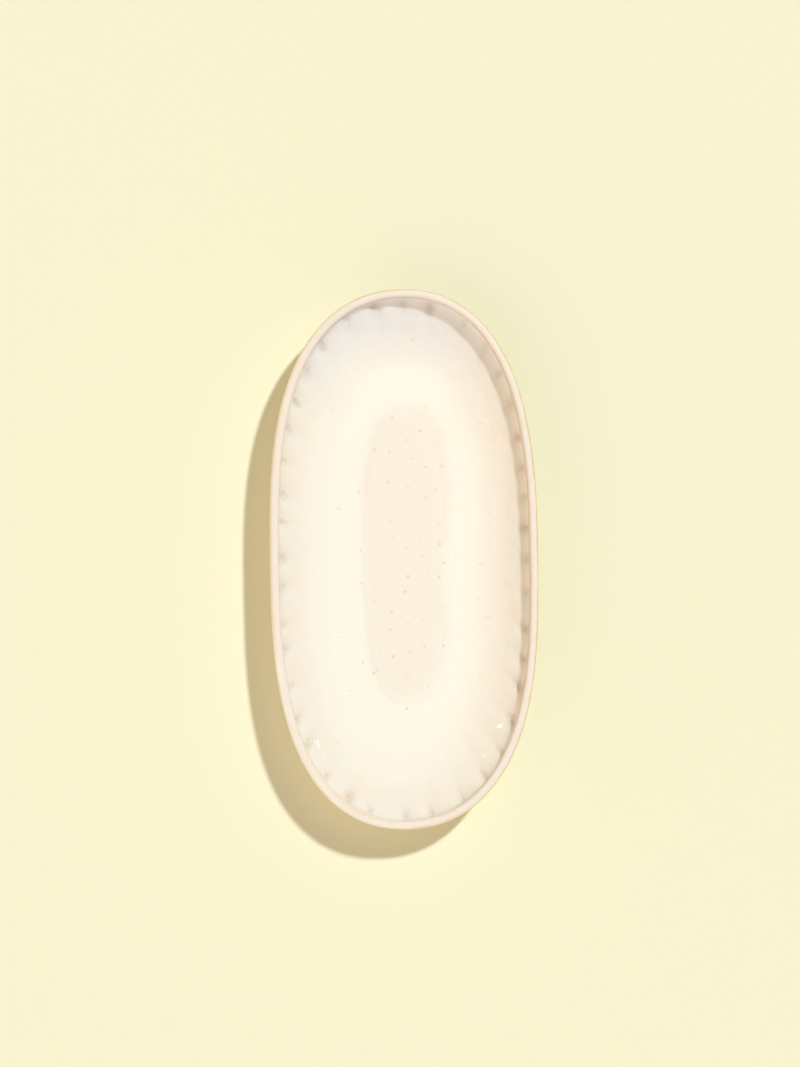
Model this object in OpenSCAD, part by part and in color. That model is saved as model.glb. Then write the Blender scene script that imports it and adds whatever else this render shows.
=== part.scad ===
// Oval stoneware plate for asparagus: a flat well, a curved wall with creases between
// soft lobes inside, a rounded lip and a low foot ring. The glaze is modelled as the
// coats that it is laid on in, each with its own thickness.
// The origin is on the table under the middle of the plate, with X across the width,
// Y along the length and Z up.

/* [Plate] */
// Length over the rim
plate_length = 350; // [310:1:390]
// Width over the rim
plate_width = 174; // [152:1:200]
// Height from the table to the top of the rim
plate_height = 30; // [26:1:36]
// Straightness of the long sides, where 2 is a true ellipse
side_power = 2.9; // [2.2:0.1:3.4]
// Flatness of the ends, where 2 is a true ellipse
end_power = 2.2; // [2:0.1:2.8]

/* [Well] */
// Length of the flat well
well_length = 194; // [154:1:212]
// Width of the flat well
well_width = 56; // [44:1:66]

/* [Clay shell] */
// Thickness of the wall and of the lip
wall_thickness = 4.8; // [3.6:0.1:5.6]
// Thickness of the floor under the well
floor_thickness = 4.4; // [3.6:0.1:6]
// Tightness of the bend from the shallow bowl up into the rim, where 2 is an elliptic arc
wall_power = 2.3; // [2:0.1:3.6]
// Share of a quarter turn that the wall's curve runs through from the well to the lip
wall_turn_share = 0.92; // [0.75:0.01:0.94]

/* [Creases] */
// Number of creases round the inner wall
crease_count = 40; // [32:2:48]
// Depth of a crease at its deepest place, in the clay
crease_depth = 1.1; // [0.4:0.1:1.6]
// Share of the wall's sweep at which a crease is deepest
crease_top_share = 0.9; // [0.84:0.01:0.94]
// How fast a crease fades towards the well
crease_fade = 2.6; // [1.5:0.1:4]

/* [Foot] */
// Width over the ledge that the foot ring is luted to
ledge_width = 108; // [88:1:118]
// Height of the foot ring
foot_height = 4.6; // [4:0.1:6]
// Width of the foot ring's bearing face
foot_ring_width = 5; // [4:0.1:8]
// Inset of the foot ring from the ledge's side
foot_inset = 0.8; // [0.4:0.1:1.6]

/* [Glaze] */
// Thickness of the poured coat inside
inside_glaze_thickness = 0.4; // [0.3:0.05:0.5]
// Thickness of the dipped coat outside
outside_glaze_thickness = 0.35; // [0.25:0.05:0.5]
// Thickness of the double coat over the lip
rim_glaze_thickness = 0.55; // [0.52:0.01:0.8]
// Extra glaze that gathers in a crease
crease_fill = 0.3; // [0.1:0.05:0.35]
// Depth of the pool of glaze in the well
pool_depth = 0.4; // [0.2:0.05:0.6]
// Distance of the pool's edge from the edge of the well
pool_margin = 1.5; // [1:0.1:4]
// Bare margin between the foot ring and the glaze under the base
base_margin = 1.6; // [1:0.1:3]

/* [Hidden] */

clay_colour = [0.79, 0.66, 0.5];
cream_glaze = [0.98, 0.93, 0.86];
pool_glaze = [0.96, 0.9, 0.83];
pale_glaze = [0.99, 0.93, 0.88];

// Points round the oval: enough of them for a crease and the crown of the lobe beside it.
points_per_crease = 4;
ring_points = crease_count * points_per_crease;
// Steps along the oval when its length is measured.
length_steps = 720;
// Steps over the lip and up the outer wall.
lip_steps = 4;
outer_steps = 5;
// Where the rings of the inner wall lie, as shares of the wall's sweep.
inner_ring_shares = [0, 0.25, 0.43, 0.58, 0.71, 0.82, crease_top_share, 1];

wall_sweep = 90 * wall_turn_share;
lip_radius = wall_thickness / 2;
lip_line = plate_height - rim_glaze_thickness - lip_radius;
well_floor = foot_height + floor_thickness;
well_half = [well_width, well_length] / 2;
outer_half = [plate_width, plate_length] / 2 - [1, 1] * rim_glaze_thickness;
inner_half = outer_half - [1, 1] * wall_thickness;
inner_run = inner_half - well_half;
outer_run = outer_half - well_half;

// The ledge lies where the outer wall has reached its width, and the wall ends there.
ledge_share = (ledge_width / 2 - well_half.x) / outer_run.x;
ledge_half = well_half + outer_run * ledge_share;
ledge_sweep = asin(sin(wall_sweep) * pow(ledge_share, wall_power / 2));
foot_half = ledge_half - [1, 1] * foot_inset;
foot_hole_half = foot_half - [1, 1] * foot_ring_width;
base_glaze_half = foot_hole_half - [1, 1] * base_margin;
pool_half = well_half - [1, 1] * pool_margin;

// One coordinate of a unit superellipse, from the cosine or sine of its angle.
function bulge(c, power) = sign(c) * pow(abs(c), 2 / power);
function unit_oval(angle) = [bulge(cos(angle), end_power), bulge(sin(angle), side_power)];
function scaled(p, half) = [p.x * half.x, p.y * half.y];
function rim_point(step) = scaled(unit_oval(360 * step / length_steps), outer_half);

// Length along the rim against angle, which spaces the points and the creases evenly.
rim_lengths = [
    for (i = 0, run = 0; i <= length_steps; i = i + 1,
         run = run + norm(rim_point(i) - rim_point(i - 1)))
        [run, 360 * i / length_steps]
];
rim_length = rim_lengths[length_steps][0];
oval = [
    for (j = [0 : ring_points - 1])
        unit_oval(lookup(rim_length * j / ring_points, rim_lengths))
];

// How far round between two crowns a point lies in a crease: 1 in its bottom, 0 on a crown.
function crease_shape(j) = 1 - abs(sin(180 * j / points_per_crease));
// How deep a crease is at this share of the wall's sweep.
function crease_share(share) =
    share < crease_top_share
        ? pow(share / crease_top_share, crease_fade)
        : (1 - share) / (1 - crease_top_share);

// The wall's curve is a part of a superellipse too: how far out and how high it is at a sweep.
function reach(sweep) = pow(sin(sweep), 2 / wall_power);
function climb(sweep) = 1 - pow(cos(sweep), 2 / wall_power);
function reach_share(sweep) = reach(sweep) / reach(wall_sweep);
function rise_share(sweep) = climb(sweep) / climb(wall_sweep);
function steepness(sweep, run, rise) =
    atan2(pow(tan(sweep), 2 - 2 / wall_power) * rise / climb(wall_sweep), run / reach(wall_sweep));

// A ring of the inner wall, lifted off the clay by cover, with its creases filled by fill.
// The last ring is lifted sideways only, so that the coats meet on the lip's line.
function inner_ring(share, cover, fill) =
    let (sweep = share * wall_sweep,
         rise = lip_line - well_floor,
         lean = share == 1 ? 90 : steepness(sweep, (inner_run.x + inner_run.y) / 2, rise),
         half = well_half + inner_run * reach_share(sweep),
         height = well_floor + rise * rise_share(sweep),
         depth = (crease_depth - fill) * crease_share(share))
    [
        for (j = [0 : ring_points - 1])
            let (shift = depth * crease_shape(j) - cover)
                [each scaled(oval[j], half + [1, 1] * shift * sin(lean)),
                 height - shift * cos(lean)]
    ];

// A ring of the outer wall, thickened by cover.
function outer_ring(step, cover) =
    let (sweep = wall_sweep + (ledge_sweep - wall_sweep) * step / outer_steps,
         rise = (lip_line - foot_height) / (1 - rise_share(ledge_sweep)),
         lean = step == 0 ? 90 : steepness(sweep, (outer_run.x + outer_run.y) / 2, rise),
         half = well_half + outer_run * reach_share(sweep) + [1, 1] * cover * sin(lean),
         height = lip_line - rise * (1 - rise_share(sweep)) - cover * cos(lean))
    flat_ring(half, height);

// A ring over the lip, from the inside at step 0 to the outside, thickened by cover.
function lip_ring(step, cover) =
    let (turn = 180 * step / lip_steps,
         radius = lip_radius + cover,
         half = inner_half + [1, 1] * (lip_radius - radius * cos(turn)))
    flat_ring(half, lip_line + radius * sin(turn));

function flat_ring(half, height) = [for (p = oval) [each scaled(p, half), height]];

function inner_rings(cover, fill) =
    [for (share = inner_ring_shares) inner_ring(share, cover, fill)];
function outer_rings(cover) = [for (step = [0 : outer_steps]) outer_ring(step, cover)];
function lip_rings(cover) = [for (step = [0 : lip_steps]) lip_ring(step, cover)];
function backwards(rings) = [for (i = [len(rings) - 1 : -1 : 0]) rings[i]];
function between(rings) = [for (i = [1 : len(rings) - 2]) rings[i]];

// A closed solid through rings of equal count. It has a flat end on its first and last
// ring, or is looped back on itself. Coats that share a surface cut its squares alike.
module skin(rings, looped = false, inside_out = false) {
    count = len(rings[0]);
    bands = len(rings) - (looped ? 0 : 1);
    function place(i, j) = (i % len(rings)) * count + j % count;
    sides = [
        for (i = [0 : bands - 1], j = [0 : count - 1])
            each [
                [place(i, j), place(i, j + 1), place(i + 1, j + 1)],
                [place(i, j), place(i + 1, j + 1), place(i + 1, j)]
            ]
    ];
    ends = looped ? [] : [
        [for (j = [count - 1 : -1 : 0]) place(0, j)],
        [for (j = [0 : count - 1]) place(len(rings) - 1, j)]
    ];
    faces = concat(sides, ends);
    polyhedron(
        points = [for (ring = rings) each ring],
        faces = inside_out ? [for (f = faces) [for (k = [len(f) - 1 : -1 : 0]) f[k]]] : faces,
        convexity = 6
    );
}

module oval_plate(half, height) {
    linear_extrude(height) polygon([for (p = oval) scaled(p, half)]);
}

// Pressed and fired stoneware: the floor with its ledge, the wall and the lip.
module clay_body() {
    color(clay_colour)
        skin(concat(
            inner_rings(0, 0),
            between(lip_rings(0)),
            outer_rings(0)
        ));
}

// Coil of bare clay luted under the ledge, which the plate stands on.
module foot_ring() {
    color(clay_colour)
        linear_extrude(foot_height)
            difference() {
                polygon([for (p = oval) scaled(p, foot_half)]);
                polygon([for (p = oval) scaled(p, foot_hole_half)]);
            }
}

// Poured coat from the lip's line down over the creases and the well.
module inside_glaze() {
    color(cream_glaze)
        skin(concat(
            inner_rings(0, 0),
            backwards(inner_rings(inside_glaze_thickness, crease_fill))
        ), inside_out = true);
}

// Glaze that ran together in the flat well.
module well_glaze_pool() {
    color(pool_glaze)
        translate([0, 0, well_floor + inside_glaze_thickness])
            oval_plate(pool_half, pool_depth);
}

// Double coat over the lip, a little proud of the coats beside it.
module rim_glaze() {
    color(pale_glaze)
        skin(concat(
            lip_rings(0),
            backwards(lip_rings(rim_glaze_thickness))
        ), looped = true, inside_out = true);
}

// Dipped coat from the lip's line down to the ledge.
module outside_glaze() {
    color(cream_glaze)
        skin(concat(
            outer_rings(0),
            backwards(outer_rings(outside_glaze_thickness))
        ), looped = true, inside_out = true);
}

// Patch of glaze under the floor, inside the foot ring.
module base_glaze() {
    color(cream_glaze)
        translate([0, 0, foot_height - outside_glaze_thickness])
            oval_plate(base_glaze_half, outside_glaze_thickness);
}

clay_body();
foot_ring();
inside_glaze();
well_glaze_pool();
rim_glaze();
outside_glaze();
base_glaze();
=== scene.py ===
import math

import bpy
import bmesh
import numpy as np
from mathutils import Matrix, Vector


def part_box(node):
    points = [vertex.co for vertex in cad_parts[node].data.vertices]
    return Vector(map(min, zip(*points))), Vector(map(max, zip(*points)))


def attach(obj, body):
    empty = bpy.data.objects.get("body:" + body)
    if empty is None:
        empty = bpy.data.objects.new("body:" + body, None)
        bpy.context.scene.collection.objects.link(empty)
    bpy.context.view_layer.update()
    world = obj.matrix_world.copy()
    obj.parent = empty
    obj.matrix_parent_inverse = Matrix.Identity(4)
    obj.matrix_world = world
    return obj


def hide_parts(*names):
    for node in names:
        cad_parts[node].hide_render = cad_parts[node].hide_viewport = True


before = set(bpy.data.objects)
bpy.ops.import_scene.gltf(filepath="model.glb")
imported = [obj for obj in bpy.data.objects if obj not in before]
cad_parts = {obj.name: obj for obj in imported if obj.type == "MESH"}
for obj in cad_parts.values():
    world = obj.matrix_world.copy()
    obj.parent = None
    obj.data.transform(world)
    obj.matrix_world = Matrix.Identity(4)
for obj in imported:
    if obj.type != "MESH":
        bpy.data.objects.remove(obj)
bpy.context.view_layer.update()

MM = 0.001

# Form of the plate, as in the part's source
END_POWER = 2.2
SIDE_POWER = 2.9
WALL_POWER = 2.3
WALL_TURN_SHARE = 0.92
WALL_SWEEP = math.radians(90 * WALL_TURN_SHARE)
CREASES = 40
CREASE_TOP = 0.9
CREASE_FILL = 0.3 * MM
POOL_MARGIN = 1.5 * MM
FOOT_INSET = 0.8 * MM
FOOT_RING_WIDTH = 5.0 * MM

# Creases as the eye sees them: deeper, softer and faster to fade than the source's few faces
# can show, and each a little out of place, in shares of the pitch
CREASE_DEPTH = 1.5 * MM
CREASE_FADE = 3.3
CREASE_SOFT = 0.3
CREASE_SHIFT = -0.1
CREASE_STRAY = 0.12
CREASE_STRENGTHS = (0.6, 1.1)

# Small pits at the tops of the creases, each in a wider stain that is partly glaze colour and
# partly painted shade. Heights are shares of the wall's sweep
PIT_DEPTH = 0.55 * MM
PIT_HALF_WIDTH = 1.9 * MM
PIT_WIDTHS = (0.6, 1.25)
PIT_SHARE = 0.83
PIT_SHARE_SPREAD = 0.05
PIT_SHARE_STRAYS = (-0.02, 0.03)
PIT_TINTS = (0, 1)
STAIN_AND_SHADE_SPREAD = 2.4

# How far the handmade rim strays from a true oval, and how far it sags. Both have waves round
# the rim: how many, how strong, and where they start
RIM_STRAY = 0.36 * MM
STRAY_WAVES = ((4, -0.55, 0), (6, 0.35, 0.4), (3, 0.1, 2.6 + math.pi / 2))
STRAY_INWARD = 0.25
RIM_SAG = 1.9 * MM
SAG_WAVES = ((5, 0.08, 2.1 + math.pi / 2),)
SAG_MEAN = 0.45
SAG_SUNWARD = 0.4

# Edges of the coats: how the glaze thins out, and how far its edge wanders. The outside coat
# rounds off over a range of the way down, which ends a trace past its edge. The base patch
# rounds off by steps of an inset, in millimetres, and a share of its thickness
POOL_FALL = 5.0 * MM
POOL_FALL_POWER = 2.2
POOL_FALL_STEPS = (1, 0.85, 0.7, 0.5, 0.3, 0.1)
POOL_EDGE_DEPTH = 0.06
BEAD_THINNING = 0.12 * MM
BEAD_THINNING_POWER = 6
OUTSIDE_EDGE_RISE = math.radians(1.3)
OUTSIDE_EDGE_WAVE = 0.55
OUTSIDE_EVEN_SHARE = 0.9
OUTSIDE_ROUNDING = (0.955, 1.0001)
BASE_EDGE_PULL = 1.2 * MM
BASE_TOP_INSET = 2.0 * MM
BASE_UNDER_INSET = 3.5 * MM
BASE_ROUNDING = ((0.0, 0.0), (0.12, 0.35), (0.35, 0.65), (0.7, 0.88), (1.2, 1.0))
EDGE_WAVES = (3, 5, 8, 13, 21)
EDGE_WAVE_FADE = -0.4
EDGE_WAVE_STARTS = (0, 6.3)

# The foot ring, wiped round and a little uneven
FOOT_BEVEL = 0.9 * MM
FOOT_CORNER = np.radians([0, 18, 36, 54, 72, 90])
FOOT_UNEVEN = 0.15 * MM

# Fineness of the meshes. The rings of the inner wall lie closer together towards the lip:
# from which share of its sweep, to which, and how many
POINTS_PER_CREASE = 24
AROUND = CREASES * POINTS_PER_CREASE
OVAL_STEPS = 24000
INNER_RINGS = ((0, 0.5, 13), (0.5, 0.76, 13), (0.76, 1, 30))
OUTER_RINGS = 40
LIP_STEPS = 16
BEAD_STEPS = 32
OUTSIDE_RINGS = 34
OUTSIDE_EDGE_RINGS = 12
DISC_SCALES = (0.12, 0.3, 0.5, 0.68, 0.82, 0.92, 0.97)
SHARP_ANGLE = math.radians(50)

# Seeds of what is drawn at random
CREASE_SEED = 5
OUTSIDE_EDGE_SEED = 11
BASE_EDGE_SEED = 17
FOOT_SEED = 23

# Where the rim's shadow falls on the floor, seen from the rim
SHADOW_SHIFT = np.array([-18.8, -21.3]) * MM
shadow_way = SHADOW_SHIFT / np.linalg.norm(SHADOW_SHIFT)

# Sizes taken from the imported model
clay_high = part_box("clay_body")[1]
coat_low, coat_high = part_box("inside_glaze")
pool_low, pool_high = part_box("well_glaze_pool")
rim_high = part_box("rim_glaze")[1]
outside_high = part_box("outside_glaze")[1]
foot_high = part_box("foot_ring")[1]
base_low, base_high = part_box("base_glaze")

outer_half = np.array(clay_high.xy)
inner_half = np.array(coat_high.xy)
lip_radius = float(outer_half[0] - inner_half[0]) / 2
lip_line = coat_high.z
well_floor = coat_low.z
foot_height = foot_high.z
coat = pool_low.z - coat_low.z
outside_coat = outside_high.x - clay_high.x
rim_coat = rim_high.x - clay_high.x
pool_depth = pool_high.z - pool_low.z
pool_half = np.array(pool_high.xy)
well_half = pool_half + POOL_MARGIN
foot_half = np.array(foot_high.xy)
foot_hole_half = foot_half - FOOT_RING_WIDTH
ledge_half = foot_half + FOOT_INSET
base_half = np.array(base_high.xy)
inner_run = inner_half - well_half
outer_run = outer_half - well_half
wall_rise = lip_line - well_floor


def signed_power(value, power):
    return np.sign(value) * np.abs(value) ** (2 / power)


def evenly_round(count):
    """Points of a unit oval, spaced evenly along the rim, and the rim's length."""
    angle = np.linspace(0, 2 * math.pi, OVAL_STEPS + 1)
    unit = np.stack([signed_power(np.cos(angle), END_POWER),
                     signed_power(np.sin(angle), SIDE_POWER)], axis=1)
    steps = np.linalg.norm(np.diff(unit * outer_half, axis=0), axis=1)
    length = np.concatenate([[0], np.cumsum(steps)])
    places = np.linspace(0, length[-1], count, endpoint=False)
    points = [np.interp(places, length, unit[:, k]) for k in (0, 1)]
    return np.stack(points, axis=1), length[-1]


oval, rim_length = evenly_round(AROUND)
crease_pitch = rim_length / CREASES
turn = np.arange(AROUND) * 2 * math.pi / AROUND


def square_to_rim():
    """Unit vectors that point out of the oval, square to the rim."""
    rim = oval * outer_half
    along = np.roll(rim, -2, axis=0) - np.roll(rim, 2, axis=0)
    out = np.stack([along[:, 1], -along[:, 0]], axis=1)
    return out / np.linalg.norm(out, axis=1)[:, None]


rim_out = square_to_rim()
sunward = rim_out @ -shadow_way


def waves(parts):
    """A sum of sine waves round the oval, each given as its count, strength and start."""
    return sum(strength * np.sin(count * turn + start) for count, strength, start in parts)


def wavy(seed):
    """A smooth random line round the oval, between -1 and 1."""
    random = np.random.default_rng(seed)
    line = waves([(count, count ** EDGE_WAVE_FADE, random.uniform(*EDGE_WAVE_STARTS))
                  for count in EDGE_WAVES])
    return line / np.abs(line).max()


def smooth_step(value, low, high):
    t = np.clip((value - low) / (high - low), 0, 1)
    return t * t * (3 - 2 * t)


def handmade(points):
    """Lets the rim stray a little from the true oval, and sag, as a hand-finished one does."""
    height = np.clip((points[..., 2] - foot_height) / (lip_line - foot_height), 0, 1)
    stray = RIM_STRAY * (waves(STRAY_WAVES) - STRAY_INWARD)
    sag = RIM_SAG * (SAG_MEAN + SAG_SUNWARD * sunward + waves(SAG_WAVES))
    out = points.copy()
    out[..., :2] += rim_out * (stray * height ** 2)[..., None]
    out[..., 2] -= sag * height ** 2
    return out


def reach(sweep):
    return np.sin(sweep) ** (2 / WALL_POWER)


def climb(sweep):
    return 1 - np.cos(sweep) ** (2 / WALL_POWER)


def reach_share(sweep):
    return reach(sweep) / reach(WALL_SWEEP)


def rise_share(sweep):
    return climb(sweep) / climb(WALL_SWEEP)


def steepness(sweep, run, rise):
    """Slope of the wall's curve at a sweep."""
    climbing = np.tan(sweep) ** (2 - 2 / WALL_POWER) * rise / climb(WALL_SWEEP)
    return np.arctan2(climbing, run / reach(WALL_SWEEP))


# The outer wall ends on the ledge beside the foot ring
ledge_share = (ledge_half[0] - well_half[0]) / outer_run[0]
ledge_sweep = math.asin(math.sin(WALL_SWEEP) * ledge_share ** (WALL_POWER / 2))
outer_rise = (lip_line - foot_height) / (1 - rise_share(ledge_sweep))

inner_shares = np.concatenate([np.linspace(low, high, count, endpoint=high == 1)
                               for low, high, count in INNER_RINGS])


def crease_places():
    """How far each point lies from its crease, in pitches, and how deep that crease is, with
    the width, place and tint of its pit."""
    random = np.random.default_rng(CREASE_SEED)
    strays = random.uniform(-CREASE_STRAY, CREASE_STRAY, CREASES)
    middles = np.arange(CREASES) + CREASE_SHIFT + strays
    at = np.arange(AROUND) / POINTS_PER_CREASE
    gap = (at[:, None] - middles[None] + CREASES / 2) % CREASES - CREASES / 2
    nearest = np.abs(gap).argmin(axis=1)
    ranges = (CREASE_STRENGTHS, PIT_WIDTHS, PIT_SHARE_STRAYS, PIT_TINTS)
    marks = [random.uniform(*ends, CREASES)[nearest] for ends in ranges]
    return gap[np.arange(AROUND), nearest], *marks


crease_gap, crease_strength, pit_width, pit_stray, pit_tint = crease_places()


def crease_valley():
    """1 in the bottom of a crease, which the glaze softens, and 0 on the crown between two."""
    crown = math.hypot(1, CREASE_SOFT)
    rise = np.hypot(np.sin(math.pi * np.clip(crease_gap, -0.5, 0.5)), CREASE_SOFT)
    return (crown - rise) / (crown - CREASE_SOFT)


def crease_share(share):
    """How deep a crease is at a share of the wall's sweep."""
    rising = (share / CREASE_TOP) ** CREASE_FADE
    ending = (1 - share) / (1 - CREASE_TOP)
    return np.where(share < CREASE_TOP, rising, ending)


def pit_share(share, spread=1.0):
    """How far a point of the wall lies in the small pit at the top of its crease, or in the
    wider stain round it, which is partly glaze colour and partly painted shade."""
    along = crease_gap * crease_pitch / (PIT_HALF_WIDTH * pit_width * spread)
    up = (share - PIT_SHARE - pit_stray) / (PIT_SHARE_SPREAD * spread)
    return np.exp(-along ** 2 - up ** 2) * crease_strength


def flat_ring(half, height):
    return np.column_stack([oval * half, np.broadcast_to(height, (AROUND,))])


def disc_rings(half, height):
    """Rings that fill an oval from its middle to just inside its edge."""
    return [flat_ring(half * scale, height) for scale in DISC_SCALES]


def inner_ring(share, cover, fill):
    """A ring of the inner wall, lifted off the clay by cover, with its creases filled by fill."""
    sweep = share * WALL_SWEEP
    lean = math.pi / 2 if share == 1 else steepness(sweep, inner_run.mean(), wall_rise)
    half = well_half + inner_run * reach_share(sweep)
    height = well_floor + wall_rise * rise_share(sweep)
    depth = (CREASE_DEPTH - fill) * crease_share(share) * crease_valley() * crease_strength
    shift = depth + PIT_DEPTH * pit_share(share) * (share < 1) - cover
    flat = oval * half + rim_out * (shift * math.sin(lean))[:, None]
    return np.column_stack([flat, height - shift * math.cos(lean)])


def outer_ring(sweep, cover):
    """A ring of the outer wall, thickened by cover. The sweep may differ from point to point."""
    sweep = np.broadcast_to(sweep, (AROUND,))
    lean = steepness(sweep, outer_run.mean(), outer_rise)
    half = well_half + outer_run * reach_share(sweep)[:, None]
    flat = oval * half + rim_out * (cover * np.sin(lean))[:, None]
    height = lip_line - outer_rise * (1 - rise_share(sweep)) - cover * np.cos(lean)
    return np.column_stack([flat, height])


def lip_ring(angle, radius):
    """A ring over the lip, from the inside at angle 0 to the outside."""
    half = inner_half + (lip_radius - radius * math.cos(angle))
    return flat_ring(half, lip_line + radius * math.sin(angle))


def skin(name, rings, looped=False, values=None):
    """A closed mesh through rings of equal count. It is looped back on itself, or each end
    is drawn together in a middle point. values holds a number for each point, by name."""
    rings = np.array(rings)
    points = rings.reshape(-1, 3)
    fields = {key: np.array(value).reshape(-1) for key, value in (values or {}).items()}
    starts = [k * AROUND for k in range(len(rings))]
    here = np.arange(AROUND)
    beside = (here + 1) % AROUND
    faces = []
    for low, high in zip(starts, starts[1:] + starts[:1] if looped else starts[1:]):
        faces += np.stack([low + here, low + beside, high + beside, high + here], axis=1).tolist()
    if not looped:
        for k, start in enumerate((starts[0], starts[-1])):
            tip = np.full(AROUND, len(points) + k)
            faces += np.stack([start + here, start + beside, tip], axis=1).tolist()
        points = np.concatenate([points, rings[[0, -1]].mean(axis=1)])
        fields = {key: np.concatenate([value, [value[0], value[-1]]])
                  for key, value in fields.items()}
    return new_piece(name, points, faces, fields)


def new_piece(name, points, faces, fields):
    """An object with a smooth mesh and a number for each of its points, by name."""
    mesh = bpy.data.meshes.new(name)
    mesh.from_pydata(points.tolist(), [], faces)
    for key, value in fields.items():
        field = mesh.attributes.new(key, "FLOAT", "POINT")
        field.data.foreach_set("value", value.astype(np.float32))
    shell = bmesh.new()
    shell.from_mesh(mesh)
    bmesh.ops.recalc_face_normals(shell, faces=shell.faces)
    shell.to_mesh(mesh)
    shell.free()
    mesh.shade_smooth()
    mesh.set_sharp_from_angle(angle=SHARP_ANGLE)
    piece = bpy.data.objects.new(name, mesh)
    bpy.context.collection.objects.link(piece)
    return piece


def dress(piece, node, material):
    """Lets a piece stand for its CAD node, ride on the plate and take its finish."""
    piece.data.materials.append(material)
    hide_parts(node)
    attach(piece, "root")


def on_each(rings, line):
    """The same line of numbers for every ring."""
    return np.broadcast_to(line, (len(rings), AROUND))


def outward_share(rings):
    """How far out each point lies: 0 at the pool's edge, 1 at the lip, below 0 in the pool."""
    from_edge = ((np.array(rings)[..., :2] - oval * pool_half) * rim_out).sum(axis=-1)
    whole = (oval * (inner_half - pool_half) * rim_out).sum(axis=-1)
    return from_edge / whole


def inside_coat():
    """The poured coat: down from the lip over creases and pits, and across the well."""
    wall = [inner_ring(share, coat, CREASE_FILL) for share in inner_shares]
    well = disc_rings(well_half, well_floor + coat)
    under = [inner_ring(share, 0, 0) for share in inner_shares[::-2]]
    under += disc_rings(well_half, well_floor)[::-1]
    rings = handmade(np.array(well + wall + under))
    stain_and_shade = [pit_share(share, STAIN_AND_SHADE_SPREAD) for share in inner_shares]
    return skin("inside_coat", rings, values={
        "outward": outward_share(rings),
        "valley": on_each(rings, crease_valley() * crease_strength),
        "stain_and_shade": np.concatenate([on_each(well, 0), stain_and_shade, on_each(under, 0)]),
        "tint": on_each(rings, pit_tint),
        "sunward": on_each(rings, sunward)})


def glaze_pool():
    """Glaze that ran together in the well: level in the middle, and thin at its edge."""
    top = [flat_ring(pool_half, pool_low.z)]
    for share in POOL_FALL_STEPS:
        depth = pool_depth * (1 - (1 - POOL_EDGE_DEPTH) * share ** POOL_FALL_POWER)
        top.append(flat_ring(pool_half - POOL_FALL * (1 - share), pool_low.z + depth))
    top += disc_rings(pool_half - POOL_FALL, pool_high.z)[::-1]
    rings = np.array(disc_rings(pool_half, pool_low.z) + top)
    return skin("glaze_pool", rings, values={
        "outward": outward_share(rings),
        "sunward": on_each(rings, sunward)})


def rim_bead():
    """The double coat over the lip, thinner at its two edges."""
    angles = np.linspace(0, math.pi, BEAD_STEPS + 1)
    covers = rim_coat - BEAD_THINNING * (1 - np.sin(angles)) ** BEAD_THINNING_POWER
    top = [lip_ring(angle, lip_radius + cover) for angle, cover in zip(angles, covers)]
    under = [lip_ring(angle, lip_radius) for angle in angles[::-2]]
    over = np.concatenate([angles, angles[::-2]]) / math.pi
    rings = handmade(np.array(top + under))
    return skin("rim_bead", rings, looped=True, values={
        "over": np.repeat(over, AROUND),
        "sunward": on_each(rings, sunward)})


def outside_skin():
    """The dipped coat outside. It ends in a rounded, slightly wavy edge above the ledge."""
    wander = 1 + OUTSIDE_EDGE_WAVE * wavy(OUTSIDE_EDGE_SEED)
    ending = ledge_sweep + OUTSIDE_EDGE_RISE * wander
    even = np.linspace(0, OUTSIDE_EVEN_SHARE, OUTSIDE_RINGS)
    closing = np.linspace(OUTSIDE_EVEN_SHARE, 0, OUTSIDE_EDGE_RINGS) ** 2
    shares = np.concatenate([even, 1 - (1 - OUTSIDE_EVEN_SHARE) * closing])
    sweeps = [WALL_SWEEP + (ending - WALL_SWEEP) * share for share in shares]
    rounding = smooth_step(shares, *OUTSIDE_ROUNDING)
    covers = outside_coat * np.sqrt(np.clip(1 - rounding ** 2, 0, 1))
    top = [outer_ring(sweep, cover) for sweep, cover in zip(sweeps, covers)]
    under = [outer_ring(sweep, 0) for sweep in sweeps[-2:0:-2]] + [outer_ring(WALL_SWEEP, 0)]
    down = np.concatenate([shares, shares[-2:0:-2], [0]])
    return skin("outside_coat", handmade(np.array(top + under)), looped=True,
                values={"down": np.repeat(down, AROUND)})


def base_patch():
    """The glaze under the base: a thin patch with a rounded, wavy edge."""
    pull = BASE_EDGE_PULL * (0.5 + 0.5 * wavy(BASE_EDGE_SEED))
    rings = disc_rings(base_half - BASE_TOP_INSET, base_high.z)
    for inset, depth in BASE_ROUNDING:
        ring = flat_ring(base_half - inset * MM, base_high.z - outside_coat * depth)
        ring[:, :2] -= rim_out * pull[:, None]
        rings.append(ring)
    return skin("base_patch", rings + disc_rings(base_half - BASE_UNDER_INSET, base_low.z)[::-1])


def clay_shell():
    """The pressed clay under the glaze, bare only beside the foot ring."""
    rings = disc_rings(well_half, well_floor)
    rings += [inner_ring(share, 0, 0) for share in inner_shares]
    lip_angles = np.linspace(0, math.pi, LIP_STEPS + 1)[1:-1]
    rings += [lip_ring(angle, lip_radius) for angle in lip_angles]
    sweeps = np.linspace(WALL_SWEEP, ledge_sweep, OUTER_RINGS)
    rings += [outer_ring(sweep, 0) for sweep in sweeps]
    rings += disc_rings(ledge_half, foot_height)[::-1]
    return skin("clay_shell", handmade(np.array(rings)))


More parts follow.
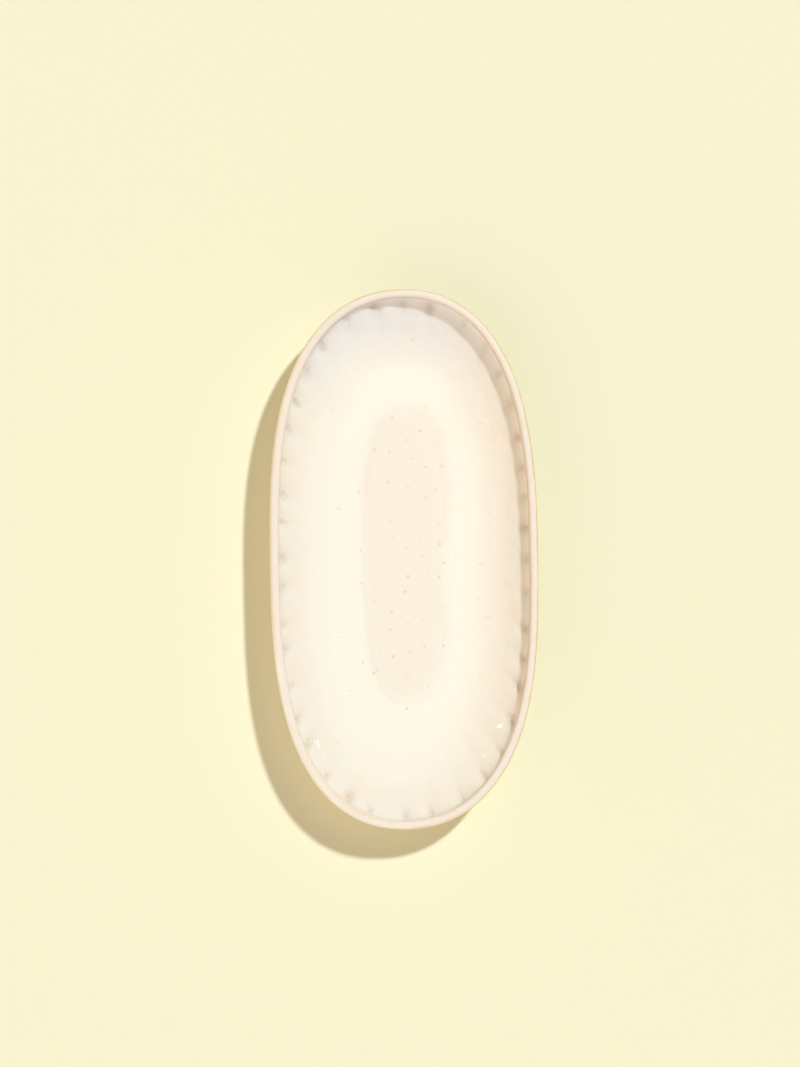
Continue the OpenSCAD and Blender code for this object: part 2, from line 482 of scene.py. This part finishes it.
def foot_coil():
    """The bare foot ring, with its edges wiped round. It widens and narrows a little."""
    outside = [(foot_half, foot_height), (foot_half, foot_height / 2)]
    outside += [(foot_half - FOOT_BEVEL * (1 - math.cos(angle)),
                 FOOT_BEVEL * (1 - math.sin(angle))) for angle in FOOT_CORNER]
    hole = [(foot_hole_half + FOOT_BEVEL * (1 - math.sin(angle)),
             FOOT_BEVEL * (1 - math.cos(angle))) for angle in FOOT_CORNER]
    hole += [(foot_hole_half, foot_height / 2), (foot_hole_half, foot_height)]
    uneven = FOOT_UNEVEN * (wavy(FOOT_SEED) - 1)
    rings = []
    for side, outline in ((1, outside), (-1, hole)):
        for half, height in outline:
            ring = flat_ring(half, height)
            ring[:, :2] += rim_out * (side * uneven)[:, None]
            rings.append(ring)
    return skin("foot_coil", rings, looped=True)


# The part of a noise texture's range that it mostly keeps to, and a narrower one
NOISE_RANGE = (0.3, 0.7)
NARROW_RANGE = (0.35, 0.65)


class Nodes:
    """The nodes of one tree, added and joined in short calls."""

    def __init__(self, tree):
        self.tree = tree

    def join(self, output, socket):
        self.tree.links.new(output, socket)

    def node(self, kind, *inputs, **settings):
        """A node with its inputs in order: each a number, a colour or another's output."""
        node = self.tree.nodes.new("ShaderNode" + kind)
        for key, value in settings.items():
            setattr(node, key, value)
        for socket, value in zip([i for i in node.inputs if i.enabled], inputs):
            if isinstance(value, bpy.types.NodeSocket):
                self.join(value, socket)
            else:
                socket.default_value = (*value, 1) if socket.type == "RGBA" else value
        return node

    def math(self, operation, *values):
        return self.node("Math", *values, operation=operation).outputs[0]


class Shader(Nodes):
    """The nodes of one material. What fixed holds is set on the surface's own sockets."""

    def __init__(self, name, **fixed):
        self.material = bpy.data.materials.new(name)
        self.material.use_nodes = True
        super().__init__(self.material.node_tree)
        self.surface = self.tree.nodes["Principled BSDF"]
        for key, value in fixed.items():
            self.surface.inputs[key.replace("_", " ")].default_value = value

    def times(self, value, *others):
        for other in others:
            value = self.math("MULTIPLY", value, other)
        return value

    def plus(self, value, *others):
        for other in others:
            value = self.math("ADD", value, other)
        return value

    def place(self, stretch=(1, 1, 1), shift=0.0):
        """Position in the plate's own frame, in metres, stretched and then shifted."""
        where = self.node("TexCoord").outputs["Object"]
        return self.node("VectorMath", where, stretch, (shift,) * 3,
                         operation="MULTIPLY_ADD").outputs[0]

    def axis(self, letter):
        return self.node("SeparateXYZ", self.place()).outputs[letter]

    def field(self, name):
        """A number that the mesh holds for each point."""
        return self.node("Attribute", attribute_name=name).outputs["Fac"]

    def noise(self, per_metre, detail=2.0, rough=0.5, stretch=(1, 1, 1), shift=0.0):
        place = self.place(stretch, shift)
        return self.node("TexNoise", place, per_metre, detail, rough).outputs["Fac"]

    def span(self, value, low, high, to_low=0.0, to_high=1.0):
        """Maps a range of a value smoothly to another, and holds it outside that range."""
        return self.node("MapRange", value, low, high, to_low, to_high,
                         interpolation_type="SMOOTHSTEP").outputs["Result"]

    def patches(self, per_metre, low=0.0, high=1.0, within=NOISE_RANGE, **noise):
        """Soft patches between two values: noise, with the middle of its range spread out."""
        return self.span(self.noise(per_metre, **noise), *within, low, high)

    def blend(self, share, a, b):
        return self.node("Mix", share, a, b, data_type="RGBA", blend_type="MIX").outputs[2]

    def colour(self, value):
        self.join(value, self.surface.inputs["Base Color"])

    def roughness(self, low, high, per_metre=400, within=NOISE_RANGE):
        """Roughness that varies in small patches between two values."""
        value = self.patches(per_metre, low, high, within)
        self.join(value, self.surface.inputs["Roughness"])

    def bumps(self, *layers):
        """Bumps on bumps: each layer is a height and the distance it stands for, in metres."""
        normal = None
        for height, distance in layers:
            bump = self.node("Bump")
            bump.inputs["Distance"].default_value = distance
            self.join(height, bump.inputs["Height"])
            if normal is not None:
                self.join(normal, bump.inputs["Normal"])
            normal = bump.outputs["Normal"]
        self.join(normal, self.surface.inputs["Normal"])

    def glaze_bumps(self, *layers):
        """Bumps of a glaze, with a very fine grain over all."""
        self.bumps(*layers, (self.noise(900), 0.01 * MM))


# Colours, as the shader takes them. FAR is at the far end of the plate
POOL = (0.965, 0.865, 0.74)
BAND = (0.985, 0.935, 0.80)
BAND_FAR = (0.985, 0.96, 0.85)
WALL_FOOT = (0.985, 0.90, 0.765)
WALL = (0.985, 0.895, 0.70)
# A darker, more saturated tone painted on the wall that faces the sun: painted light
WALL_PAINTED_SUNLIT = (0.955, 0.805, 0.645)
# Paler colours painted into the shade under the lip as fill light, lilac at the far end
UNDER_LIP_PAINTED_FILL = (0.985, 0.90, 0.76)
UNDER_LIP_FAR_PAINTED_FILL = (0.97, 0.95, 0.97)
LILAC = (0.85, 0.825, 0.83)
PEACH = (0.95, 0.82, 0.665)
MOTTLE = (0.90, 0.86, 0.78)
BEAD = (0.94, 0.81, 0.67)
BEAD_PALE = (0.94, 0.82, 0.71)
BREAK = (0.66, 0.43, 0.22)
# Olive where the outer flank of the lip faces the sun, and paler where it lies in shade: painted
# light and fill
BREAK_PAINTED_SUNLIT = (0.80, 0.60, 0.31)
BREAK_PAINTED_FILL = (0.97, 0.80, 0.51)
BREAK_PAINTED_FILL_PALE = (0.985, 0.95, 0.83)
# Lilac grey painted as shade on the inner half of the lip at the far end
LIP_PAINTED_SHADE_FAR = (0.80, 0.75, 0.80)
IRON = (0.40, 0.30, 0.14)
OLIVE = (0.82, 0.74, 0.42)
VIOLET = (0.78, 0.70, 0.66)
STREAK = (0.84, 0.75, 0.46)
# Stains at the pits: partly the glaze's colour and partly painted shade of the pits and creases
STAIN_AND_SHADE_GREY = (0.62, 0.47, 0.32)
STAIN_AND_SHADE_OLIVE = (0.46, 0.41, 0.24)
STAIN_AND_SHADE_RUST = (0.64, 0.40, 0.28)
STAIN_AND_SHADE_VIOLET = (0.54, 0.46, 0.47)
# Shade painted down the crease valleys
CREASE_PAINTED_SHADE = (0.85, 0.76, 0.69)
OUTSIDE = (0.93, 0.87, 0.75)
OUTSIDE_RUN = (0.90, 0.81, 0.68)
BASE_PATCH = (0.90, 0.81, 0.69)
CLAY = (0.55, 0.37, 0.21)
CLAY_PALE = (0.68, 0.50, 0.32)
CLAY_DARK = (0.28, 0.17, 0.09)

# Gloss of glaze and clay
GLAZE_IOR = 1.5
CLAY_IOR = 1.45
RIM_SPECULAR = 0.25
CLAY_SPECULAR = 0.3
INSIDE_ROUGHNESS = (0.02, 0.045)
POOL_ROUGHNESS = (0.05, 0.08)
RIM_ROUGHNESS = (0.26, 0.42)
OUTSIDE_ROUGHNESS = (0.14, 0.2)
CLAY_ROUGHNESS = (0.7, 0.9)

# Iron spots: the smallest against the largest, the core against the whole, and how strong
SPOT_SMALLEST = 0.45
SPOT_CORE = 0.2
IRON_STRENGTH = 0.5
RIM_IRON_STRENGTH = 0.3
INSIDE_IRON_STRENGTH = 0.2
STREAK_STRENGTH = 0.55
VIOLET_TINTS = (0.70, 0.74)

# Bare clay: how pale it is where it was wiped, and how strong its grain and grog are
CLAY_WIPED = (0.2, 0.8)
FOOT_PALER = 0.2
GRAIN_STRENGTH = 0.4
GROG_STRENGTH = 0.6

# Zones of the tints inside, each the range over which a tint comes in. How far out: 0 at the
# pool's edge and 1 at the lip
POOL_ZONE = (-0.11, 0.08)
SPOTS_ZONE = (0.04, 0.2)
WALL_FOOT_ZONE = (0.28, 0.55)
WALL_ZONE = (0.62, 0.90)
ON_WALL_ZONE = (0.35, 0.85)
# Three of these bring in painted light and shade: the darker tone on the sunlit wall, the paler
# fill in the shade under the lip, and the shade down the creases
PAINTED_SUNLIT_ZONE = (0.55, 0.9)
PAINTED_FILL_ZONE = (0.75, 0.95)
CREASE_SHADE_ZONE = (0.5, 0.95)
THIN_ZONE = (0.975, 1.0)
UNEVEN_ZONE = (0.3, 0.8)
OUTWARD_STRAY = 0.02

# Zones by the side that a point lies on: 1 on the sun's side, whose wall is in the shade, and
# -1 on the other, whose wall the sun lights
SUNNY_SIDE = (-0.9, 0.5, 1.0, 0.0)
SHADY_SIDE = (-0.6, 0.6)

# Zones by the place along and across the plate, in metres
FAR_BAND = (0.095, 0.125)
FAR_END = (0.08, 0.17)
FAR_STAINS_AND_SHADE = (0.12, 0.15)
RIGHT_SIDE = (0.02, 0.07)
RIGHT_STAINS_AND_SHADE = (0.03, 0.07)

# How the pool's colour lies aside of the pool, per metre, and how blunt its ends are, per
# square metre
POOL_SHIFT = (1.2, 0.5, 0)
POOL_BLUNT = 42

# How strong the tints, painted crease shade and stains of the wall are (the stains partly
# glaze colour, partly painted shade), and which stains are rust or olive, by their crease's tint
MOTTLE_STRENGTH = 0.5
TINT_UNDER_LIP = 0.3
CREASE_SHADE_STRENGTH = 0.16
STAIN_AND_SHADE_STRENGTH = 0.45
STAIN_AND_SHADE_RANGE = (0.05, 1.15)
STAIN_AND_SHADE_RAGGED = (0.7, 1.2)
RUST_TINTS = (0.50, 0.56)
OLIVE_TINTS = (0.80, 0.84)
RUST_AT_RIGHT = 0.75
THIN_STRENGTH = 0.12


def specks(shader, per_metre, kept, radius, shift, dimensions="3D", stretch=(1, 1, 1)):
    """Small iron spots: one in each cell of a Voronoi texture, kept where its number is low.
    Gives how strong the spot is at each point, and a number from 0 to 1 for its tint."""
    place = shader.place(stretch, shift)
    cell = shader.node("TexVoronoi", place, per_metre, voronoi_dimensions=dimensions)
    number = shader.node("SeparateColor", cell.outputs["Color"])
    largest = radius * per_metre
    size = shader.node("MapRange", number.outputs["Green"], 0.0, 1.0,
                       SPOT_SMALLEST * largest, largest).outputs["Result"]
    core = shader.times(size, SPOT_CORE)
    spot = shader.span(cell.outputs["Distance"], core, size, 1.0, 0.0)
    chosen = shader.math("LESS_THAN", number.outputs["Red"], kept)
    return shader.times(spot, chosen), number.outputs["Blue"]


def iron_spots(shader, colour, shift, strength=IRON_STRENGTH):
    """Dark iron spots strewn over a colour."""
    spot, _ = specks(shader, per_metre=160, kept=0.45, radius=0.9 * MM, shift=shift)
    return shader.blend(shader.times(spot, strength), colour, IRON)


def pool_and_band(shader, x, y, outward):
    """Colour of the pool, shifted and blunt at its ends, and of the cream band round it."""
    shift = shader.node("VectorMath", shader.place(), POOL_SHIFT, operation="DOT_PRODUCT")
    edge = shader.math("SUBTRACT", outward, shift.outputs["Value"])
    diagonal = shader.math("ABSOLUTE", shader.times(x, y))
    edge = shader.math("MULTIPLY_ADD", diagonal, -POOL_BLUNT, edge)
    band = shader.blend(shader.span(y, *FAR_BAND), BAND, BAND_FAR)
    return shader.blend(shader.span(edge, *POOL_ZONE), POOL, band)


def inner_colour(shader):
    """Colour of the glaze inside, by how far out it lies and where on the plate it lies, with
    painted light and shade on the wall, and how far out that is."""
    x, y, side = shader.axis("X"), shader.axis("Y"), shader.field("sunward")
    outward = shader.plus(shader.field("outward"),
                          shader.patches(35, -OUTWARD_STRAY, OUTWARD_STRAY))
    colour = pool_and_band(shader, x, y, outward)

    # The wall, yellower towards the lip, with painted light and shade: a darker tone painted
    # where the sun lights the wall, and paler fill painted into the shade under the lip
    colour = shader.blend(shader.span(outward, *WALL_FOOT_ZONE), colour, WALL_FOOT)
    colour = shader.blend(shader.span(outward, *WALL_ZONE), colour, WALL)
    painted_sunlit = shader.times(shader.span(outward, *PAINTED_SUNLIT_ZONE), shader.span(side, *SUNNY_SIDE))
    colour = shader.blend(painted_sunlit, colour, WALL_PAINTED_SUNLIT)
    painted_fill = shader.times(shader.span(outward, *PAINTED_FILL_ZONE),
                             shader.span(side, *SHADY_SIDE))
    far_end = shader.span(y, *FAR_END)
    colour = shader.blend(painted_fill, colour, shader.blend(far_end, UNDER_LIP_PAINTED_FILL, UNDER_LIP_FAR_PAINTED_FILL))

    # Lilac towards the far end and peach towards the right, weaker in the painted fill under the
    # lip
    on_wall = shader.span(outward, *ON_WALL_ZONE)
    in_light = shader.times(on_wall, shader.span(painted_fill, 0.0, 1.0, 1.0, TINT_UNDER_LIP))
    colour = shader.blend(shader.times(far_end, in_light), colour, LILAC)
    right = shader.span(x, *RIGHT_SIDE)
    colour = shader.blend(shader.times(right, in_light), colour, PEACH)
    mottle = shader.patches(60, 0.0, MOTTLE_STRENGTH, within=(0.25, 0.75), detail=3,
                            rough=0.6, shift=3.1)
    return shader.blend(shader.times(mottle, on_wall), colour, MOTTLE), outward


def add_specks(shader, colour, outward):
    """Pale olive and violet spots, most of them in the pool, and a few darker ones."""
    in_pool = shader.span(outward, *SPOTS_ZONE, 1.0, 0.0)
    spot, tint = specks(shader, per_metre=95, kept=0.44, radius=1.6 * MM, shift=0.4,
                        dimensions="2D")
    spot_colour = shader.blend(shader.span(tint, *VIOLET_TINTS), OLIVE, VIOLET)
    colour = shader.blend(shader.times(spot, in_pool), colour, spot_colour)
    streak, _ = specks(shader, per_metre=55, kept=0.22, radius=1.3 * MM, shift=5.2,
                       dimensions="2D", stretch=(0.4, 1, 1))
    colour = shader.blend(shader.times(streak, STREAK_STRENGTH), colour, STREAK)
    dark, _ = specks(shader, per_metre=45, kept=0.06, radius=1.2 * MM, shift=8.9,
                     dimensions="2D")
    return shader.blend(shader.times(dark, INSIDE_IRON_STRENGTH), colour, IRON)


def crease_marks(shader, colour, outward):
    """Painted shade down the crease valleys, and the stains round their pits, which are partly
    glaze colour and partly painted shade.
    """
    # Shade painted down the valleys of the creases
    crease_shade = shader.times(shader.span(shader.field("valley"), 0.0, 1.0),
                       shader.span(outward, *CREASE_SHADE_ZONE, 0.0, CREASE_SHADE_STRENGTH),
                       shader.patches(30, within=(0.3, 0.65), shift=6.6))
    colour = shader.blend(crease_shade, colour, CREASE_PAINTED_SHADE)
    # Stains round the pits, partly glaze colour and partly painted shade
    tint = shader.field("tint")
    stain_and_shade_colour = shader.blend(shader.span(tint, *RUST_TINTS), STAIN_AND_SHADE_GREY, STAIN_AND_SHADE_RUST)
    stain_and_shade_colour = shader.blend(shader.span(tint, *OLIVE_TINTS), stain_and_shade_colour, STAIN_AND_SHADE_OLIVE)
    right = shader.span(shader.axis("X"), *RIGHT_STAINS_AND_SHADE, 0.0, RUST_AT_RIGHT)
    stain_and_shade_colour = shader.blend(right, stain_and_shade_colour, STAIN_AND_SHADE_RUST)
    far_end = shader.span(shader.axis("Y"), *FAR_STAINS_AND_SHADE)
    stain_and_shade_colour = shader.blend(far_end, stain_and_shade_colour, STAIN_AND_SHADE_VIOLET)
    ragged = shader.patches(380, *STAIN_AND_SHADE_RAGGED, shift=1.3)
    stain_and_shade = shader.times(shader.field("stain_and_shade"), ragged)
    return shader.blend(shader.span(stain_and_shade, *STAIN_AND_SHADE_RANGE, 0.0, STAIN_AND_SHADE_STRENGTH), colour,
                        stain_and_shade_colour)


def cream_glaze():
    """The glossy coat inside, with the marks of its creases."""
    shader = Shader("cream_glaze", IOR=GLAZE_IOR)
    colour, outward = inner_colour(shader)
    colour = crease_marks(shader, colour, outward)
    thin = shader.span(outward, *THIN_ZONE, 0.0, THIN_STRENGTH)
    colour = shader.blend(thin, colour, BREAK)
    shader.colour(add_specks(shader, colour, outward))
    shader.roughness(*INSIDE_ROUGHNESS)
    uneven = shader.times(shader.noise(90), shader.span(outward, *UNEVEN_ZONE, 0.25, 1.0))
    shader.glaze_bumps((uneven, 0.8 * MM))
    return shader.material


def pool_glaze():
    """The glaze that ran together in the well, coloured as the coat round it."""
    shader = Shader("pool_glaze", IOR=GLAZE_IOR)
    colour, outward = inner_colour(shader)
    shader.colour(add_specks(shader, colour, outward))
    shader.roughness(*POOL_ROUGHNESS)
    shader.glaze_bumps((shader.noise(70), 0.15 * MM))
    return shader.material


# Lines where the glaze breaks over the lip, which also carry painted light and shade. How far
# over the lip they lie goes from 0 at its inside to 1 at its outside, strayed a little
OVER_STRAY = 0.045
INNER_LINE_FROM = 0.10
INNER_START_FROM = -0.2
# Lilac grey painted as shade over the inner half of the lip at the far end: how far over it fades
# out, from which strength
FAR_LIP_SHADE = (0.06, 0.34, 0.8, 0.0)

# The inner line changes round the lip: a range of the side, and what it becomes over it. On
# the sun's side, where the lip's inner half lies in shade, it reaches further, is stronger and
# turns a darker tan: painted shade
INNER_REACH_TO_SUN = (0.0, 1.0, 0.28, 0.46)
INNER_REACH_AWAY = (-0.95, -0.8, 0.14, 0.0)
INNER_STRENGTH_TO_SUN = (-0.4, 0.6, 0.28, 0.50)
INNER_STRENGTH_AWAY = (-0.8, -0.68, 0.16, 0.0)
INNER_START = (-0.95, -0.8, 0.25, -0.1)
PAINTED_SHADE_TAN_SIDE = (-0.6, 0.0)

# It also changes along the plate: a range of the place in metres, and what is added or kept
INNER_GAIN_AT_NEAR_END = (-0.172, -0.12, 0.14, 0.0)
INNER_FADE_AT_FAR_END = (0.13, 0.172, 1.0, 0.3)
FAR_LIP_SHADE_END = (0.14, 0.17)

# The outer line carries painted light: olive where its flank faces the sun, paler where the
# flank lies in shade, and palest and broadest on the side away from the sun; narrow elsewhere
OUTER_SUNNY_SIDE = (-0.3, 0.5)
PAINTED_FILL_SIDE = (-0.75, -0.66)
OUTER_LINE_FROM = (0.47, 0.68)
OUTER_LINE_FULL = (0.70, 0.80)


def inner_line(shader, over, along, side):
    """How strong the tan line at the inner edge of the lip is. On the sun's side, where it lies
    in shade, it is stronger and wider: painted shade.
    """
    near_end = shader.span(along, *INNER_GAIN_AT_NEAR_END)
    reach_over = shader.plus(shader.span(side, *INNER_REACH_TO_SUN),
                             shader.span(side, *INNER_REACH_AWAY), near_end)
    strength = shader.plus(shader.span(side, *INNER_STRENGTH_TO_SUN),
                           shader.span(side, *INNER_STRENGTH_AWAY), near_end)
    start = shader.span(side, *INNER_START)
    return shader.times(shader.span(over, INNER_LINE_FROM, reach_over, 1.0, 0.0), strength,
                        shader.span(over, INNER_START_FROM, start),
                        shader.span(along, *INNER_FADE_AT_FAR_END))


def outer_line(shader, over, side):
    """How strong the line at the outer edge of the lip is, and its colour: painted light, olive
    where the flank faces the sun and paler where it lies in shade.
    """
    colour = shader.blend(shader.span(side, *OUTER_SUNNY_SIDE), BREAK_PAINTED_FILL, BREAK_PAINTED_SUNLIT)
    colour = shader.blend(shader.span(side, *PAINTED_FILL_SIDE), BREAK_PAINTED_FILL_PALE, colour)
    start = shader.span(side, *PAINTED_FILL_SIDE, *OUTER_LINE_FROM)
    full = shader.span(side, *PAINTED_FILL_SIDE, *OUTER_LINE_FULL)
    return shader.span(over, start, full), colour


def rim_glaze():
    """Pinkish cream that breaks to tan where it runs thin at the two edges of the lip, with
    painted light and shade along these lines and on the inner half of the lip at the far end.
    """
    shader = Shader("rim_glaze", IOR=GLAZE_IOR, Specular_IOR_Level=RIM_SPECULAR)
    along, side = shader.axis("Y"), shader.field("sunward")
    over = shader.plus(shader.field("over"),
                       shader.patches(45, -OVER_STRAY, OVER_STRAY, detail=3, rough=0.6))
    mottle = shader.patches(120, within=NARROW_RANGE, detail=3)
    colour = shader.blend(mottle, BEAD, BEAD_PALE)
    # A darker tan on the sun's side, where the inner edge lies in shade: painted shade
    tan = shader.blend(shader.span(side, *PAINTED_SHADE_TAN_SIDE), BREAK_PAINTED_SUNLIT, BREAK)
    colour = shader.blend(inner_line(shader, over, along, side), colour, tan)
    # Lilac grey painted as shade over the lip's inner half at the far end
    far_lip_shade = shader.times(shader.span(over, *FAR_LIP_SHADE), shader.span(along, *FAR_LIP_SHADE_END))
    colour = shader.blend(far_lip_shade, colour, LIP_PAINTED_SHADE_FAR)
    line, line_colour = outer_line(shader, over, side)
    colour = shader.blend(line, colour, line_colour)
    shader.colour(iron_spots(shader, colour, shift=2.2, strength=RIM_IRON_STRENGTH))
    shader.roughness(*RIM_ROUGHNESS, per_metre=60, within=NARROW_RANGE)
    shader.glaze_bumps((shader.noise(80), 0.4 * MM), (shader.noise(240), 0.08 * MM))
    return shader.material


# The coat outside. How far down it a point lies goes from 0 at the lip to 1 at the coat's
# lower edge, strayed a little
DOWN_STRAY = 0.02
RUN_STRENGTH = 0.5
THIN_BELOW_LIP = (0.0, 0.07, 0.55, 0.0)
THIN_ABOVE_LEDGE = (0.93, 1.0, 0.0, 0.6)


def outer_glaze():
    """Cream with faint runs, tan where it is thin below the lip and at its lower edge."""
    shader = Shader("outer_glaze", IOR=GLAZE_IOR)
    runs = shader.patches(70, within=(0.35, 0.7), detail=3, rough=0.6, stretch=(1, 1, 0.25))
    colour = shader.blend(shader.times(runs, RUN_STRENGTH), OUTSIDE, OUTSIDE_RUN)
    down = shader.plus(shader.field("down"),
                       shader.patches(60, -DOWN_STRAY, DOWN_STRAY, detail=3))
    colour = shader.blend(shader.span(down, *THIN_BELOW_LIP), colour, BREAK)
    colour = shader.blend(shader.span(down, *THIN_ABOVE_LEDGE), colour, BREAK)
    shader.colour(iron_spots(shader, colour, shift=7.7))
    shader.roughness(*OUTSIDE_ROUGHNESS)
    shader.glaze_bumps((shader.noise(70, stretch=(1, 1, 0.3)), 0.25 * MM))
    return shader.material


def base_glaze():
    """The same glaze on the patch under the base."""
    shader = Shader("base_glaze", IOR=GLAZE_IOR)
    patches = shader.patches(40, within=NARROW_RANGE, detail=3)
    colour = shader.blend(patches, OUTSIDE, BASE_PATCH)
    shader.colour(iron_spots(shader, colour, shift=1.7))
    shader.roughness(*OUTSIDE_ROUGHNESS)
    shader.glaze_bumps((shader.noise(60), 0.2 * MM))
    return shader.material


def stoneware(name, pale=0.0):
    """Bare fired clay: fine grain, dark grog and pale patches where it was wiped."""
    shader = Shader(name, IOR=CLAY_IOR, Specular_IOR_Level=CLAY_SPECULAR)
    wiped = shader.patches(50, CLAY_WIPED[0] + pale, CLAY_WIPED[1] + pale, detail=3)
    colour = shader.blend(wiped, CLAY, CLAY_PALE)
    grain = shader.patches(2500, 0.0, GRAIN_STRENGTH, within=(0.4, 0.7))
    colour = shader.blend(grain, colour, CLAY_DARK)
    grog, _ = specks(shader, per_metre=600, kept=0.25, radius=0.6 * MM, shift=4.4)
    shader.colour(shader.blend(shader.times(grog, GROG_STRENGTH), colour, CLAY_DARK))
    shader.roughness(*CLAY_ROUGHNESS, per_metre=300)
    shader.bumps((shader.noise(2500, detail=3), 0.08 * MM), (shader.noise(500), 0.2 * MM))
    return shader.material


# Studio: the floor that the plate stands on, the light and the camera. A window is given as
# the way towards it and its size
FLOOR_COLOUR = (0.94, 0.89, 0.635)
FLOOR_RADIUS = 8.0
FLOOR_CORNERS = 96
SKY_LIGHT = (0.483, 0.42, 0.357)
SKY_LEAN = 1.3
SKY_LOW_LEAN = 0.9
SKY_LOW_POWER = 3
SUN_LIGHT = (0.503, 0.567, 0.622)
SUN_WIDTH = 4.2
SHADOW_EDGE = lip_line + lip_radius / 2
WINDOW_DISTANCE = 3.0
WINDOW_GLOW = 420.0
LEFT_WINDOW = ((-0.715, 0.265, 0.65), (0.12, 0.045))
RIGHT_WINDOW = ((0.70, 0.375, 0.61), (0.11, 0.08))
FRAME_LENGTH = 690.6 * MM
FRAME_TURN = -0.0128
FRAME_OFFSET = (-2.43 * MM, 16.77 * MM)
CAMERA_HEIGHT = 3.0
LONG_SIDE = 36.0


def floor():
    bpy.ops.mesh.primitive_circle_add(vertices=FLOOR_CORNERS, radius=FLOOR_RADIUS,
                                      fill_type="NGON")
    ground = bpy.context.object
    ground.name = "floor"
    shader = Shader("floor_paper", Roughness=0.95, Specular_IOR_Level=0.0)
    shader.surface.inputs["Base Color"].default_value = (*FLOOR_COLOUR, 1)
    ground.data.materials.append(shader.material)


def new_lamp(name, kind, towards):
    """A lamp that shines on the plate, and the object that holds it."""
    lamp = bpy.data.lights.new(name, kind)
    holder = bpy.data.objects.new(name, lamp)
    holder.rotation_euler = towards.to_track_quat("Z", "Y").to_euler()
    bpy.context.collection.objects.link(holder)
    return lamp, holder


def sun():
    """A far lamp that casts the rim's shadow as far as the photograph shows it. Its light is
    given as what falls on a level floor."""
    towards = Vector((*-SHADOW_SHIFT, SHADOW_EDGE)).normalized()
    lamp, holder = new_lamp("sun", "SUN", towards)
    brightest = max(SUN_LIGHT)
    lamp.angle = math.radians(SUN_WIDTH)
    lamp.color = [part / brightest for part in SUN_LIGHT]
    lamp.energy = brightest * math.pi / towards.z
    holder.visible_glossy = False


def window(name, towards, size):
    """A small bright pane that shows in the glaze as a glint and lights nothing else."""
    towards = Vector(towards).normalized()
    lamp, holder = new_lamp(name, "AREA", towards)
    lamp.shape = "RECTANGLE"
    lamp.size, lamp.size_y = size
    lamp.energy = WINDOW_GLOW * lamp.size * lamp.size_y
    holder.location = towards * WINDOW_DISTANCE
    holder.visible_diffuse = False


def sky():
    """Soft warm light from all round, strongest from the side away from the sun. What looks
    at it directly sees the floor's colour."""
    world = bpy.data.worlds.new("sky")
    bpy.context.scene.world = world
    world.use_nodes = True
    nodes = Nodes(world.node_tree)
    way = nodes.node("TexCoord").outputs["Generated"]
    away = nodes.node("VectorMath", way, (*shadow_way, 0), operation="DOT_PRODUCT")
    away = away.outputs["Value"]
    strength = nodes.math("MULTIPLY_ADD", away, SKY_LEAN, 1.0)
    low = nodes.math("POWER", away, SKY_LOW_POWER)
    strength = nodes.math("MULTIPLY_ADD", low, SKY_LOW_LEAN, strength)
    strength = nodes.math("MAXIMUM", strength, 0.0)
    glow = nodes.tree.nodes["Background"]
    glow.inputs["Color"].default_value = (*SKY_LIGHT, 1)
    nodes.join(strength, glow.inputs["Strength"])
    seen = nodes.node("Background", FLOOR_COLOUR)
    path = nodes.node("LightPath").outputs
    looking = nodes.math("MAXIMUM", path["Is Camera Ray"], path["Is Glossy Ray"])
    mix = nodes.node("MixShader", looking, glow.outputs[0], seen.outputs[0])
    nodes.join(mix.outputs[0], nodes.tree.nodes["World Output"].inputs["Surface"])


def camera():
    """Straight above the plate, with the photograph's frame and slight turn."""
    data = bpy.data.cameras.new("camera")
    data.sensor_width = LONG_SIDE
    data.lens = LONG_SIDE * CAMERA_HEIGHT / FRAME_LENGTH
    holder = bpy.data.objects.new("camera", data)
    holder.location = (*FRAME_OFFSET, lip_line + CAMERA_HEIGHT)
    holder.rotation_euler = (0, 0, FRAME_TURN)
    bpy.context.collection.objects.link(holder)
    bpy.context.scene.camera = holder


dress(clay_shell(), "clay_body", stoneware("bare_clay"))
dress(foot_coil(), "foot_ring", stoneware("foot_clay", FOOT_PALER))
dress(inside_coat(), "inside_glaze", cream_glaze())
dress(glaze_pool(), "well_glaze_pool", pool_glaze())
dress(rim_bead(), "rim_glaze", rim_glaze())
dress(outside_skin(), "outside_glaze", outer_glaze())
dress(base_patch(), "base_glaze", base_glaze())
floor()
sun()
window("left_window", *LEFT_WINDOW)
window("right_window", *RIGHT_WINDOW)
sky()
camera()
bpy.context.scene.view_settings.view_transform = "Standard"
